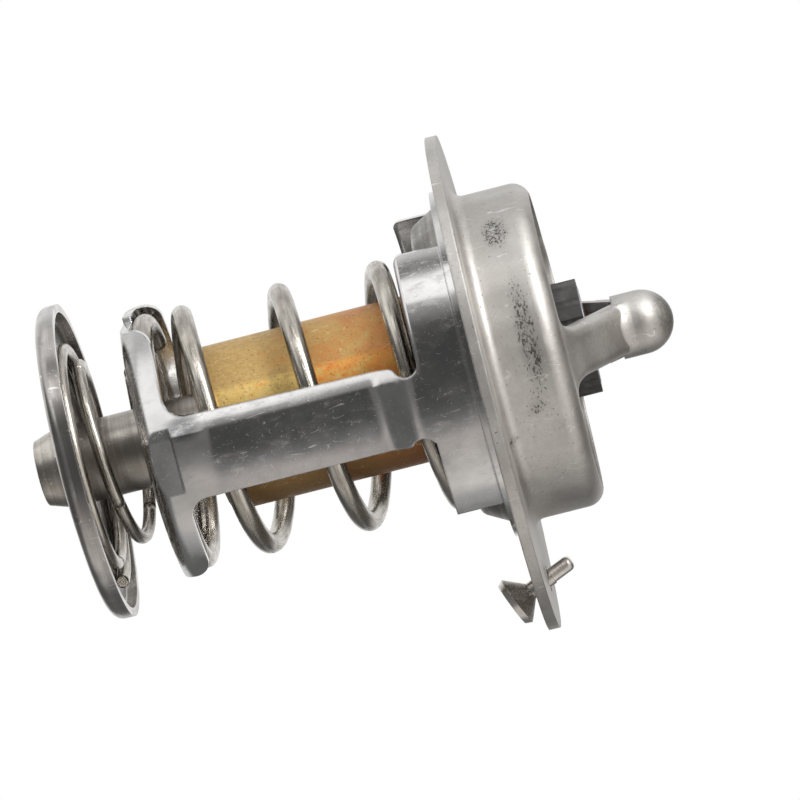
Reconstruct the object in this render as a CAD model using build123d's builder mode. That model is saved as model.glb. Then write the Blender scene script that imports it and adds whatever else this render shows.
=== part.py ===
from build123d import *
import math
import os

# Engine thermostat of the bridge type, with a bypass valve.
# Millimetres. +Z runs along the valve from the engine side to the outlet nose.
# The origin is the centre of the flange's round rim, on its engine-side face.
# The valve's own axis runs beside that centre, because the flange is struck off centre.

os.makedirs("parts", exist_ok=True)

# Flange
flange_radius = 27.0
flange_thickness = 1.2
axis_offset = 2.4
bleed_hole_inset = 5.3
bleed_hole_radius = 1.5

# Outlet dome, drawn up from the flange
dome_radius = 17.7
dome_height = 9.3
dome_sheet = 1.0
dome_curl = 2.0
dome_root = 1.2
window_radius = 16.25

# Bridge over the dome, with the socket that holds the piston
cage_turn = 8.0
arm_width = 5.5
arm_flare = 4.5
arm_shoulder = 13.5
arm_slope = 31.5
arm_edge_depth = 0.9
arm_round = 1.2
nose_radius = 3.45
nose_root = 2.5
spread_radius = 6.0
spread_sink = 0.6
nose_tip = 20.9
socket_floor = 14.8
socket_wall = 2.0

# Cage that holds the main spring
cage_sheet = 0.9
collar_radius = 18.9
collar_height = 1.0
skirt_radius = 18.4
skirt_depth = 6.0
skirt_left_corner = 0.8
skirt_right_corner = 1.8
near_skirt_left = 14.5
near_skirt_right = 13.2
far_skirt_left = 16.0
far_skirt_right = 13.2
joggle_start = 7.4
joggle_end = 10.8
joggle_radius = 2.5
leg_radius = 16.2
leg_left = 3.9
leg_right = 4.55
leg_spread = 0.45
relief_radius = 1.3
relief_left_depth = 1.1
relief_right_depth = 0.75
relief_ease = 0.7
foot_depth = 36.0
foot_corner = 1.8
foot_flare = 2.1
near_wing_left = 13.4
far_wing_left = 14.1
wing_right = 13.4
wing_height = 3.3
wing_corner = 1.8
pocket_width = 7.6
pocket_height = 2.5
pocket_depth = 0.4
stem_hole_radius = 5.0
stem_hole_lip = 0.35

# Main valve
dish_rim_radius = 17.25
dish_rim_top = 1.05
dish_floor_radius = 15.6
dish_depth = 4.0
dish_sheet = 1.0
dish_corner = 1.2
seal_width = 1.9
seat_gap = 0.05

# Wax element
cup_radius = 8.95
cup_wall = 1.0
cup_bottom = 1.5
cup_end = 29.7
cup_edge = 1.0
shoulder_radius = 11.0
shoulder_thickness = 0.9
crimp_lip = 0.7
crimp_reach = 1.6
guide_flange_thickness = 1.4
guide_depth = 8.0
guide_neck_radius = 3.6
guide_neck_top = 9.5
sleeve_radius = 3.4
sleeve_end = 22.5
sleeve_floor = 2.0
boot_radius = 6.2
boot_top = 11.7
boot_flutes = 16
boot_flute_radius = 0.75
boot_flute_depth = 0.28
washer_radius = 5.2
washer_thickness = 0.5
washer_proud = 0.1
piston_radius = 1.9
piston_gap = 0.3

# Stem and bypass valve
stem_radius = 4.3
stem_tip_radius = 3.5
stem_end = 48.7
stem_taper = 2.4
clip_thickness = 0.8
clip_bite = 0.6
clip_radius = 5.3
clip_mouth = 40.0
bypass_radius = 17.2
bypass_face = 44.8
bypass_rim = 2.2
bypass_sheet = 0.9
bypass_corner = 1.2

# Springs
main_wire = 2.2
main_outer_radius = 14.0
main_pitch = 10.75
main_end_turns = 0.815
main_ramp_turns = 0.8
main_start_angle = 146.0
main_foot_shift = 0.1
main_head_shift = 0.8
main_tilt = 0.9
main_tilt_turns = 0.3
bypass_wire = 1.4
bypass_large_radius = 13.3
bypass_small_radius = 8.2
bypass_closed_turns = 1.0
bypass_open_turns = 1.5
bypass_end_angle = 180.0
coil_points = 16

# Bleed pin, hanging loose in its hole
pin_head_radius = 2.8
pin_head_height = 2.5
pin_head_edge = 0.7
pin_shank_radius = 0.95
pin_length = 7.9
pin_paddle_length = 2.6
pin_paddle_width = 3.6
pin_paddle_thickness = 1.6
pin_tilt = 22.5
pin_shift = 0.15

# Clearances
running_fit = 0.05
seated_fit = 0.03
assembly_gap = 0.1

# Directions and planes on the valve's own axis
axis_x = -axis_offset
bleed_hole_reach = flange_radius - bleed_hole_inset
turn = math.radians(cage_turn)
towards_arm = (math.sin(turn), -math.cos(turn), 0)
across_arm = (math.cos(turn), math.sin(turn), 0)
valve_axis = Axis((axis_x, 0, 0), (0, 0, 1))
meridian = Plane(origin=(axis_x, 0, 0), x_dir=(1, 0, 0), z_dir=(0, -1, 0))
arm_side = Plane(
    origin=(axis_x, 0, 0),
    x_dir=towards_arm,
    z_dir=(-math.cos(turn), -math.sin(turn), 0),
)
cage_front = Plane(origin=(axis_x, 0, 0), x_dir=across_arm, z_dir=towards_arm)


def level(height):
    """Plane across the valve's axis, turned with the bridge."""
    return Plane(origin=(axis_x, 0, height), x_dir=towards_arm, z_dir=(0, 0, 1))


def finish(part, name):
    """Label a finished piece and write it."""
    part.label = name
    export_step(part, f"parts/{name}.step")


# Outlet frame: flange, dome and bridge, pressed from one sheet
dome_inner = dome_radius - dome_sheet
dome_flat = dome_radius - dome_curl
slope = math.radians(arm_slope)
nose_centre = nose_tip - nose_radius


def arm_plan(width, flare, reach):
    """Plan of the two arms, flared where they leave the rim of the window."""
    with BuildSketch() as plan:
        Circle(dome_radius)
        Circle(window_radius, mode=Mode.SUBTRACT)
        Rectangle(2 * (window_radius + dome_sheet / 2), width)
        roots = [v for v in plan.vertices() if abs(math.hypot(v.X, v.Y) - window_radius) < 0.01]
        fillet(roots, flare)
        Circle(reach, mode=Mode.INTERSECT)
    return plan.sketch


def arch_outline(drop):
    """Side view of the arms' surface, lowered squarely by drop and closed below."""
    shoulder = arm_shoulder - drop * math.tan(slope / 2)
    flat = dome_height - drop
    peak = flat + shoulder * math.tan(slope)
    with BuildSketch() as outline:
        with BuildLine():
            Polyline(
                (-dome_radius, 0),
                (-dome_radius, flat),
                (-shoulder, flat),
                (0, peak),
                (shoulder, flat),
                (dome_radius, flat),
                (dome_radius, 0),
                close=True,
            )
        make_face()
        bends = [v for v in outline.vertices() if abs(abs(v.X) - shoulder) < 0.01]
        fillet(bends, arm_flare - drop)
    return outline.sketch


with BuildPart() as arm_channel:
    with BuildSketch(arm_side):
        add(arch_outline(dome_sheet))
    extrude(amount=dome_radius, both=True)
    with BuildSketch(level(0)):
        add(arm_plan(arm_width - 2 * dome_sheet, arm_flare + dome_sheet, dome_radius))
    extrude(amount=nose_tip, mode=Mode.INTERSECT)

# The nose spreads into the arms' slope with a hollow curve
with BuildPart() as nose_spread:
    with BuildSketch(meridian) as spread_section:
        with BuildLine():
            peak = dome_height + arm_shoulder * math.tan(slope)
            spread_bend = (nose_radius, peak - nose_radius * math.tan(slope))
            Polyline(
                (0, socket_floor),
                (spread_radius, peak - spread_radius * math.tan(slope) - spread_sink),
                spread_bend,
                (nose_radius, nose_centre),
                (0, nose_centre),
                close=True,
            )
        make_face()
        fillet(spread_section.vertices().sort_by_distance(spread_bend)[0], nose_root)
    revolve(axis=valve_axis)
    with BuildSketch(level(0)):
        add(arm_plan(arm_width, arm_flare, dome_flat))
    extrude(amount=nose_tip, mode=Mode.INTERSECT)

# The arms are a channel: sheet on top, with both long edges turned down
with BuildPart() as bridge:
    with BuildSketch(arm_side):
        add(arch_outline(0))
    extrude(amount=dome_radius, both=True)
    with BuildSketch(level(0)):
        add(arm_plan(arm_width, arm_flare, dome_flat))
    extrude(amount=nose_tip, mode=Mode.INTERSECT)
    rims = bridge.edges().filter_by(GeomType.LINE).filter_by(lambda e: e.length > arm_shoulder / 2)
    fillet(rims.filter_by(lambda e: e.center().Z > dome_height + 1), arm_round)
    add(nose_spread.part)
    with BuildSketch(arm_side):
        add(arch_outline(dome_sheet + arm_edge_depth))
    extrude(amount=dome_radius, both=True, mode=Mode.SUBTRACT)
    add(arm_channel.part, mode=Mode.SUBTRACT)

with BuildPart() as outlet_frame:
    with BuildSketch(meridian):
        with BuildLine():
            wall = FilletPolyline(
                (dome_radius, 0),
                (dome_radius, dome_height),
                (dome_flat - dome_curl, dome_height),
                radius=dome_curl,
            )
            offset(wall, amount=dome_sheet, side=Side.LEFT)
        make_face()
    revolve(axis=valve_axis)
    # The window is cut out of the dome's top, and leaves the roots of the arms
    with BuildSketch(level(0)):
        Circle(window_radius)
        add(arm_plan(arm_width, arm_flare, dome_radius), mode=Mode.SUBTRACT)
    extrude(amount=nose_tip, mode=Mode.SUBTRACT)
    add(bridge.part)
    # Rounded root between the flange and the dome's wall
    with BuildSketch(meridian):
        with BuildLine():
            root_base = (dome_radius + dome_root, flange_thickness)
            root_top = (dome_radius, flange_thickness + dome_root)
            RadiusArc(root_base, root_top, dome_root)
            Line(root_top, (dome_inner, flange_thickness + dome_root))
            Line((dome_inner, flange_thickness + dome_root), (dome_inner, flange_thickness))
            Line((dome_inner, flange_thickness), root_base)
        make_face()
    revolve(axis=valve_axis)
    with BuildSketch(meridian):
        with BuildLine():
            Line((0, socket_floor), (nose_radius, socket_floor))
            Line((nose_radius, socket_floor), (nose_radius, nose_centre))
            CenterArc((0, nose_centre), nose_radius, 0, 90)
            Line((0, nose_tip), (0, socket_floor))
        make_face()
    revolve(axis=valve_axis)
    with BuildSketch():
        Circle(flange_radius)
    extrude(amount=flange_thickness)
    with BuildSketch(level(0)):
        Circle(dome_inner)
    extrude(amount=flange_thickness, mode=Mode.SUBTRACT)
    with BuildSketch(level(socket_floor)):
        Circle(piston_radius + seated_fit)
    extrude(amount=nose_tip - socket_wall - socket_floor, mode=Mode.SUBTRACT)
    with BuildSketch(Plane.XY):
        with Locations((bleed_hole_reach, 0)):
            Circle(bleed_hole_radius)
    extrude(amount=flange_thickness, mode=Mode.SUBTRACT)
finish(outlet_frame.part, "outlet_frame")


# Spring cage: collar, skirts, legs and foot, pressed from one sheet
wing_top = foot_depth - wing_height


relief_level = -skirt_depth - relief_radius
relief_left = leg_left - relief_left_depth + relief_radius
relief_right = leg_right - relief_right_depth + relief_radius


def corners(sketch, height, low, high):
    """Corners of a sketch that lie at one height, between two distances from the axis."""
    level_corners = sketch.vertices().filter_by_position(Axis.Y, height - 0.01, height + 0.01)
    return level_corners.filter_by_position(Axis.X, low, high)


def cage_blank(skirt_left, skirt_right, wing_left):
    """Front outline of one side of the cage: skirt, leg and half of the foot."""
    with BuildSketch() as blank:
        with BuildLine():
            Polyline(
                (-skirt_left, 0),
                (-skirt_left, -skirt_depth),
                (-leg_left, -skirt_depth),
                (-leg_left - leg_spread, -wing_top),
                (-wing_left, -wing_top),
                (-wing_left, -foot_depth),
                (wing_right, -foot_depth),
                (wing_right, -wing_top),
                (leg_right, -wing_top),
                (leg_right, -skirt_depth),
                (skirt_right, -skirt_depth),
                (skirt_right, 0),
                close=True,
            )
        make_face()
        fillet(corners(blank, -skirt_depth, -skirt_left, -leg_left - 1), skirt_left_corner)
        fillet(corners(blank, -skirt_depth, leg_right + 1, skirt_right), skirt_right_corner)
        fillet(corners(blank, -wing_top, -leg_left - 1, leg_right + 1), foot_flare)
        fillet(corners(blank, -wing_top, -wing_left, -leg_left - 3), wing_corner)
        fillet(corners(blank, -wing_top, leg_right + 3, wing_right), wing_corner)
        with Locations((-relief_left, relief_level), (relief_right, relief_level)):
            Circle(relief_radius, mode=Mode.SUBTRACT)
        cusps = blank.vertices().filter_by_position(Axis.Y, relief_level - relief_radius, relief_level)
        fillet(cusps, relief_ease)
    return blank.sketch


with BuildPart() as spring_cage:
    with BuildSketch(cage_front):
        add(cage_blank(near_skirt_left, near_skirt_right, near_wing_left))
    extrude(amount=collar_radius)
    with BuildSketch(cage_front):
        add(cage_blank(far_skirt_left, far_skirt_right, far_wing_left))
    extrude(amount=-collar_radius)
    with BuildSketch(meridian):
        with BuildLine():
            shell = FilletPolyline(
                (skirt_radius, 0),
                (skirt_radius, -joggle_start),
                (leg_radius, -joggle_end),
                (leg_radius, -foot_depth),
                (stem_hole_radius, -foot_depth),
                radius=[joggle_radius, joggle_radius, foot_corner],
            )
            offset(shell, amount=cage_sheet, side=Side.RIGHT)
        make_face()
    revolve(axis=valve_axis, mode=Mode.INTERSECT)
    with BuildSketch(level(0)):
        Circle(collar_radius)
        Circle(skirt_radius - cage_sheet, mode=Mode.SUBTRACT)
    extrude(amount=-collar_height)
    # A shallow pocket is pressed into each leg where it bends into the foot
    pocket_middle = wing_height / 2 + pocket_depth - foot_depth
    for side in (-1, 1):
        with BuildSketch(cage_front.offset(side * (leg_radius - pocket_depth))):
            with Locations((0, pocket_middle)):
                Rectangle(pocket_width, pocket_height)
        extrude(amount=side * pocket_depth, mode=Mode.SUBTRACT)
    lip = (
        spring_cage.edges()
        .filter_by(GeomType.CIRCLE)
        .filter_by(lambda e: abs(e.radius - stem_hole_radius) < 0.01)
    )
    fillet(lip, stem_hole_lip)
finish(spring_cage.part, "spring_cage")


# Main valve dish and its moulded seal
dish_hole = cup_radius + seated_fit
dish_floor = dish_depth - dish_sheet
dish_side = (dish_rim_radius - dish_floor_radius) / (dish_depth - dish_rim_top)
dish_lip = dish_rim_radius - dish_sheet * math.hypot(1, dish_side)

with BuildPart() as valve_dish:
    with BuildSketch(meridian) as dish_section:
        with BuildLine():
            Polyline(
                (dish_hole, -dish_depth),
                (dish_floor_radius, -dish_depth),
                (dish_rim_radius, -dish_rim_top),
                (dish_lip, -dish_rim_top),
                (dish_lip - dish_side * (dish_floor - dish_rim_top), -dish_floor),
                (dish_hole, -dish_floor),
                close=True,
            )
        make_face()
        corner = dish_section.vertices().sort_by_distance((dish_floor_radius, -dish_depth))[0]
        fillet(corner, dish_corner)
    revolve(axis=valve_axis)
finish(valve_dish.part, "valve_dish")

with BuildPart() as valve_seal:
    with BuildSketch(level(-dish_rim_top)):
        Circle(dish_rim_radius)
        Circle(dish_rim_radius - seal_width, mode=Mode.SUBTRACT)
    extrude(amount=dish_rim_top - seat_gap)
    chamfer(valve_seal.edges().group_by(Axis.Z)[-1], 0.25)
finish(valve_seal.part, "valve_seal")


# Wax cup, crimped over the guide's flange
cup_bore = cup_radius - cup_wall
shoulder_top = dish_floor - shoulder_thickness
guide_top = shoulder_top - guide_flange_thickness
crimp_top = guide_top - crimp_lip
guide_flange_radius = shoulder_radius - cup_wall

with BuildPart() as wax_cup:
    with BuildSketch(meridian) as cup_section:
        with BuildLine():
            Polyline(
                (0, -cup_end),
                (cup_radius, -cup_end),
                (cup_radius, -dish_floor),
                (shoulder_radius, -dish_floor),
                (shoulder_radius, -crimp_top),
                (shoulder_radius - crimp_reach, -crimp_top),
                (shoulder_radius - crimp_reach, -guide_top),
                (guide_flange_radius, -guide_top),
                (guide_flange_radius, -shoulder_top),
                (cup_bore, -shoulder_top),
                (cup_bore, cup_bottom - cup_end),
                (0, cup_bottom - cup_end),
                close=True,
            )
        make_face()
        base = cup_section.vertices().sort_by_distance((cup_radius, -cup_end))[0]
        fillet(base, cup_edge)
        rim = cup_section.vertices().sort_by_distance((shoulder_radius, -crimp_top))[0]
        fillet(rim, crimp_lip / 2)
    revolve(axis=valve_axis)
finish(wax_cup.part, "wax_cup")

with BuildPart() as piston_guide:
    with BuildSketch(meridian):
        with BuildLine():
            bore = piston_radius + running_fit
            Polyline(
                (bore, -guide_depth),
                (cup_bore - seated_fit, -guide_depth),
                (cup_bore - seated_fit, -shoulder_top),
                (guide_flange_radius - seated_fit, -shoulder_top),
                (guide_flange_radius - seated_fit, -guide_top),
                (guide_neck_radius, -guide_top),
                (guide_neck_radius, guide_neck_top),
                (bore, guide_neck_top),
                close=True,
            )
        make_face()
    revolve(axis=valve_axis)
finish(piston_guide.part, "piston_guide")

with BuildPart() as rubber_sleeve:
    with BuildSketch(level(-sleeve_end)):
        Circle(sleeve_radius)
    extrude(amount=sleeve_end - guide_depth)
    with BuildSketch(level(sleeve_floor - sleeve_end)):
        Circle(piston_radius + running_fit)
    extrude(amount=sleeve_end - sleeve_floor - guide_depth, mode=Mode.SUBTRACT)
    fillet(rubber_sleeve.edges().group_by(Axis.Z)[0], sleeve_radius / 2)
finish(rubber_sleeve.part, "rubber_sleeve")

with BuildPart() as wax_charge:
    with BuildSketch(level(cup_bottom - cup_end)):
        Circle(cup_bore - seated_fit)
    extrude(amount=cup_end - cup_bottom - guide_depth)
    with BuildSketch(level(-sleeve_end - seated_fit)):
        Circle(sleeve_radius + seated_fit)
    extrude(amount=sleeve_end, mode=Mode.SUBTRACT)
finish(wax_charge.part, "wax_charge")

# Rubber boot over the guide's neck, with a washer let into its end
with BuildPart() as guide_boot:
    with BuildSketch(level(-guide_top)):
        Circle(boot_radius)
        with PolarLocations(boot_radius + boot_flute_radius - boot_flute_depth, boot_flutes):
            Circle(boot_flute_radius, mode=Mode.SUBTRACT)
    extrude(amount=guide_top + boot_top)
    with BuildSketch(level(-guide_top)):
        Circle(guide_neck_radius + seated_fit)
    extrude(amount=guide_top + guide_neck_top, mode=Mode.SUBTRACT)
    with BuildSketch(level(guide_neck_top)):
        Circle(piston_radius + running_fit)
    extrude(amount=boot_top - guide_neck_top, mode=Mode.SUBTRACT)
    with BuildSketch(level(boot_top)):
        Circle(washer_radius + seated_fit)
    extrude(amount=washer_proud - washer_thickness, mode=Mode.SUBTRACT)
finish(guide_boot.part, "guide_boot")

with BuildPart() as boot_washer:
    with BuildSketch(level(boot_top + washer_proud)):
        Circle(washer_radius)
        Circle(piston_radius + running_fit, mode=Mode.SUBTRACT)
    extrude(amount=-washer_thickness)
finish(boot_washer.part, "boot_washer")

with BuildPart() as piston:
    piston_foot = sleeve_floor - sleeve_end + piston_gap
    with BuildSketch(level(piston_foot)):
        Circle(piston_radius)
    extrude(amount=nose_tip - socket_wall - piston_foot)
    fillet(piston.edges().group_by(Axis.Z)[0], piston_radius / 2)
finish(piston.part, "piston")


# Stem, pressed on to the cup's end, and the clip that stops the bypass disc
clip_top = bypass_face + seat_gap
groove_radius = stem_radius - clip_bite

with BuildPart() as bypass_stem:
    with BuildSketch(meridian):
        with BuildLine():
            Polyline(
                (0, -cup_end),
                (stem_radius, -cup_end),
                (stem_radius, -clip_top),
                (groove_radius, -clip_top),
                (groove_radius, -clip_top - clip_thickness - seat_gap),
                (stem_radius, -clip_top - clip_thickness - seat_gap),
                (stem_radius, stem_taper - stem_end),
                (stem_tip_radius, -stem_end),
                (0, -stem_end),
                close=True,
            )
        make_face()
    revolve(axis=valve_axis)
    fillet(bypass_stem.edges().group_by(Axis.Z)[0], 0.3)
finish(bypass_stem.part, "bypass_stem")

with BuildPart() as stem_clip:
    with BuildSketch(level(-clip_top)):
        Circle(clip_radius)
        Circle(groove_radius + seated_fit, mode=Mode.SUBTRACT)
        with BuildLine():
            half_mouth = math.radians(clip_mouth / 2)
            across = 2 * clip_radius * math.tan(half_mouth)
            Polyline((0, 0), (2 * clip_radius, across), (2 * clip_radius, -across), close=True)
        make_face(mode=Mode.SUBTRACT)
    extrude(amount=-clip_thickness)
finish(stem_clip.part, "stem_clip")

with BuildPart() as bypass_disc:
    with BuildSketch(meridian):
        with BuildLine():
            pan = FilletPolyline(
                (stem_radius + running_fit, -bypass_face),
                (bypass_radius, -bypass_face),
                (bypass_radius, bypass_rim - bypass_face),
                radius=bypass_corner,
            )
            offset(pan, amount=bypass_sheet, side=Side.LEFT)
        make_face()
    revolve(axis=valve_axis)
finish(bypass_disc.part, "bypass_disc")


# Springs: right-handed, with the end turns closed down on their seats
def coil_point(radius, angle, height):
    """Point on a coil around the valve's axis."""
    return (axis_x + radius * math.cos(angle), radius * math.sin(angle), height)


def wind(points, wire):
    """Round wire along the points of a coil."""
    with BuildPart() as coil:
        with BuildLine() as route:
            Spline(*points)
        with BuildSketch(Plane(origin=route.line @ 0, z_dir=route.line % 0)):
            Circle(wire / 2)
        sweep(is_frenet=True)
    return coil.part


main_seat = -foot_depth + cage_sheet + main_wire / 2 + seat_gap
main_head = -dish_depth - main_wire / 2 - seat_gap
main_climb = main_head - main_seat
main_turns = 2 * main_end_turns + main_climb / main_pitch


def main_rise(turns):
    """Height of the main spring's wire above its foot end after some turns."""
    climbing = turns - main_end_turns + main_ramp_turns / 2
    if climbing <= 0:
        return 0.0
    if climbing < main_ramp_turns:
        return main_pitch * climbing**2 / (2 * main_ramp_turns)
    return main_pitch * (turns - main_end_turns)


def main_height(turns):
    """Height of the wire, with both ends closed the same way."""
    if turns <= main_turns / 2:
        return main_seat + main_rise(turns)
    return main_head - main_rise(main_turns - turns)


def main_point(turns):
    """Point on the main spring, whose free turns tilt and lean a little to the side."""
    angle = math.radians(main_start_angle + 360 * turns)
    height = main_height(turns)
    free_turns = min(turns, main_turns - turns) - main_end_turns
    fade = min(1.0, max(0.0, free_turns / main_tilt_turns))
    lift = main_tilt * fade * fade * (3 - 2 * fade)
    share = (height - main_seat) / main_climb
    shift = main_foot_shift + (main_head_shift - main_foot_shift) * share
    x, y, z = coil_point(main_coil_radius, angle, height - lift * math.cos(angle))
    return (x + shift, y, z)


main_coil_radius = main_outer_radius - main_wire / 2
main_steps = round(main_turns * coil_points)
main_route = [main_point(main_turns * step / main_steps) for step in range(main_steps + 1)]
main_spring = wind(main_route, main_wire)
finish(main_spring, "main_spring")

bypass_seat = -bypass_face + bypass_sheet + bypass_wire / 2 + seat_gap
bypass_head = -foot_depth - bypass_wire / 2 - seat_gap
bypass_turns = bypass_closed_turns + bypass_open_turns
bypass_steps = round(bypass_turns * coil_points)
bypass_route = []
for step in range(bypass_steps + 1):
    turns = bypass_turns * step / bypass_steps
    share = max(0.0, (turns - bypass_closed_turns) / bypass_open_turns)
    radius = bypass_large_radius + (bypass_small_radius - bypass_large_radius) * turns / bypass_turns
    height = bypass_seat + (bypass_head - bypass_seat) * share**1.5
    angle = math.radians(bypass_end_angle + 360 * (turns - bypass_turns))
    bypass_route.append(coil_point(radius, angle, height))
bypass_spring = wind(bypass_route, bypass_wire)
finish(bypass_spring, "bypass_spring")


# Bleed pin: headed at the engine side, its other end flattened to a paddle
tilt = math.radians(pin_tilt)
pin_up = (-math.sin(tilt), 0, math.cos(tilt))
pin_shoulder = pin_length - pin_paddle_length
pin_overhang = pin_paddle_thickness / 2 * math.tan(tilt)
pin_reach = pin_shoulder - pin_overhang - (flange_thickness / 2 + assembly_gap) / math.cos(tilt)
pin_start = (
    bleed_hole_reach + pin_shift - pin_reach * pin_up[0],
    0,
    flange_thickness / 2 - pin_reach * pin_up[2],
)
pin_side = Plane(origin=pin_start, x_dir=(math.cos(tilt), 0, math.sin(tilt)), z_dir=(0, -1, 0))
pin_level = Plane(origin=pin_start, x_dir=(math.cos(tilt), 0, math.sin(tilt)), z_dir=pin_up)

with BuildPart() as jiggle_pin:
    with BuildSketch(pin_side) as pin_section:
        with BuildLine():
            Polyline(
                (0, 0),
                (pin_head_radius - pin_head_edge / 2, 0),
                (pin_head_radius, pin_head_edge),
                (pin_shank_radius, pin_head_height),
                (pin_shank_radius, pin_shoulder),
                (0, pin_shoulder),
                close=True,
            )
        make_face()
    revolve(axis=Axis(pin_start, pin_up))
    with BuildSketch(pin_level.offset(pin_shoulder)):
        RectangleRounded(pin_paddle_thickness, pin_paddle_width, pin_paddle_thickness / 2.2)
    extrude(amount=pin_paddle_length)
    fillet(jiggle_pin.faces().sort_by(Axis(pin_start, pin_up))[-1].edges(), 0.5)
finish(jiggle_pin.part, "jiggle_pin")
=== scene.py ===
# %% [markdown]
# # An engine thermostat, dressed for its picture
#
# The object is a bridge-type thermostat from an engine's cooling system: a pressed stainless
# dome on a round flange, a spring cage under it, a copper wax element, two coil springs, a
# bypass disc and a loose bleed pin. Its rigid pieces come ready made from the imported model.
# What is left for this script is the look: bare pressed metal, drawn wire, heat-tinted copper
# and black rubber, and the two springs, which have to change length when the valve moves.

# %% Load the frame
import math

import bpy
from mathutils import Matrix, Vector


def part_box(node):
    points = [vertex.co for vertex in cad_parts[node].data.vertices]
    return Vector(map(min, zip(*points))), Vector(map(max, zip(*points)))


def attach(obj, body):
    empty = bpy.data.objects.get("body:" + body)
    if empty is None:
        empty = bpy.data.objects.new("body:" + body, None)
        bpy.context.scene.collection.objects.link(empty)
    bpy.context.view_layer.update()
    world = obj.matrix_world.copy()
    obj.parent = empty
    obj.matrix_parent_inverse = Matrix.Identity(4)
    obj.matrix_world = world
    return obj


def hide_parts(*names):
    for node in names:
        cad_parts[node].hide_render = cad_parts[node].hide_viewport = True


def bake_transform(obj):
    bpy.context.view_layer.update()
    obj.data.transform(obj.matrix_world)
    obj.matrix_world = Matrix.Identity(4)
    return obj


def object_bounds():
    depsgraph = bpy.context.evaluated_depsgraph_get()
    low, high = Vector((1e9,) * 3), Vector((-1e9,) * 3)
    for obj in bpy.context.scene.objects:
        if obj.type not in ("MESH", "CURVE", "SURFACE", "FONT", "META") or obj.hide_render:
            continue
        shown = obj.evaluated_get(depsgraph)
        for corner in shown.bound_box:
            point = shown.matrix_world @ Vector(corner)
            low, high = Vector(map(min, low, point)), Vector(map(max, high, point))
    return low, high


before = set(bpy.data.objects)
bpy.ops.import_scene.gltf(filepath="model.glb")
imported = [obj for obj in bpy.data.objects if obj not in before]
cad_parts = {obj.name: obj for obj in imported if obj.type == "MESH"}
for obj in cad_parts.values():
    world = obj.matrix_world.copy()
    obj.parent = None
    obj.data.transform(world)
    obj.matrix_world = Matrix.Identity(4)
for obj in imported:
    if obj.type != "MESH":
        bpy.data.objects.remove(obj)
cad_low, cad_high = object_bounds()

MM = 0.001
print("nodes:", len(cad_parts))


# %% [markdown]
# ## Where everything is
#
# Lengths could be typed in again here, but then the picture and the model would drift apart.
# So the places that the springs and finishes need are read off the frame: the valve's own axis
# is the middle of the wax cup, and the seats of the springs are the faces they press on.

# %% Measure the frame
cup_low, cup_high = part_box("wax_cup")
AXIS_X = (cup_low.x + cup_high.x) / 2
FOOT_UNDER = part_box("spring_cage")[0].z
DISH_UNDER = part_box("valve_dish")[0].z
DISC_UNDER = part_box("bypass_disc")[0].z
print("valve axis at x", round(AXIS_X / MM, 2), "mm")
print("foot", round(FOOT_UNDER / MM, 2), "dish", round(DISH_UNDER / MM, 2), "mm")


# %% [markdown]
# ## The camera
#
# The thermostat was photographed lying down, from far away with a long lens, so that its far
# side is hardly smaller than its near side. In the model's frame the camera looks along +Y from
# slightly above the flange's level, and it is rolled until the valve's axis rises about 14
# degrees to the right. Three directions say all of that: where the camera is, where the
# picture's right is, and the cross product of the two.

# %% Set the camera
CAMERA_LIFT = math.radians(3.1)
PICTURE_TILT = math.radians(14.2)
CAMERA_DISTANCE = 533 * MM
PICTURE_WIDTH = 85.3 * MM
LOOK_AT = Vector((-0.64, 0, -9.5)) * MM

back = Vector((0, -math.cos(CAMERA_LIFT), math.sin(CAMERA_LIFT)))
right = Vector((math.sin(PICTURE_TILT), 0, math.cos(PICTURE_TILT)))
right = (right - right.dot(back) * back).normalized()
up = back.cross(right)

camera_data = bpy.data.cameras.new("camera")
camera_data.sensor_width = 36
camera_data.lens = camera_data.sensor_width * CAMERA_DISTANCE / PICTURE_WIDTH
camera_data.clip_start = 0.01
camera = bpy.data.objects.new("camera", camera_data)
bpy.context.scene.collection.objects.link(camera)
camera.matrix_world = Matrix.Translation(LOOK_AT + back * CAMERA_DISTANCE) @ Matrix(
    (right, up, back)
).transposed().to_4x4()
bpy.context.scene.camera = camera
bpy.context.scene.view_settings.view_transform = "Standard"
print("lens", round(camera_data.lens), "mm")


# %% [markdown]
# ## Small helpers for finishes
#
# A metal finish is a Principled shader with a few things laid over it: patches of slightly
# different colour, long fine scratches, and a bump so faint that only the reflections show it.
# The same steps come back in each finish, so each one is a short function that adds its nodes
# to a tree. Places are taken from the object's own coordinates, turned into millimetres, so
# that a pattern's size can be read as a real one.

# %% Helpers that add shader nodes
PATCH_CORE = 0.4
BEVEL_SAMPLES = 4


def add(tree, kind, inputs=None, **settings):
    """Add a shader node; inputs are values or sockets to link, by the input's name or number."""
    made = tree.nodes.new(kind)
    for name, value in settings.items():
        setattr(made, name, value)
    for name, value in (inputs or {}).items():
        if isinstance(value, bpy.types.NodeSocket):
            tree.links.new(value, made.inputs[name])
        else:
            made.inputs[name].default_value = value
    return made


def start_finish(name, colour, metallic, roughness, **shader_values):
    """A material whose shader holds plain values, which show wherever nothing is linked over them."""
    material = bpy.data.materials.new(name)
    material.use_nodes = True
    tree = material.node_tree
    shader = tree.nodes["Principled BSDF"]
    shader.inputs["Base Color"].default_value = (*colour, 1)
    shader.inputs["Metallic"].default_value = metallic
    shader.inputs["Roughness"].default_value = roughness
    for name, value in shader_values.items():
        shader.inputs[name.replace("_", " ")].default_value = value
    return material, tree, shader


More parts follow.
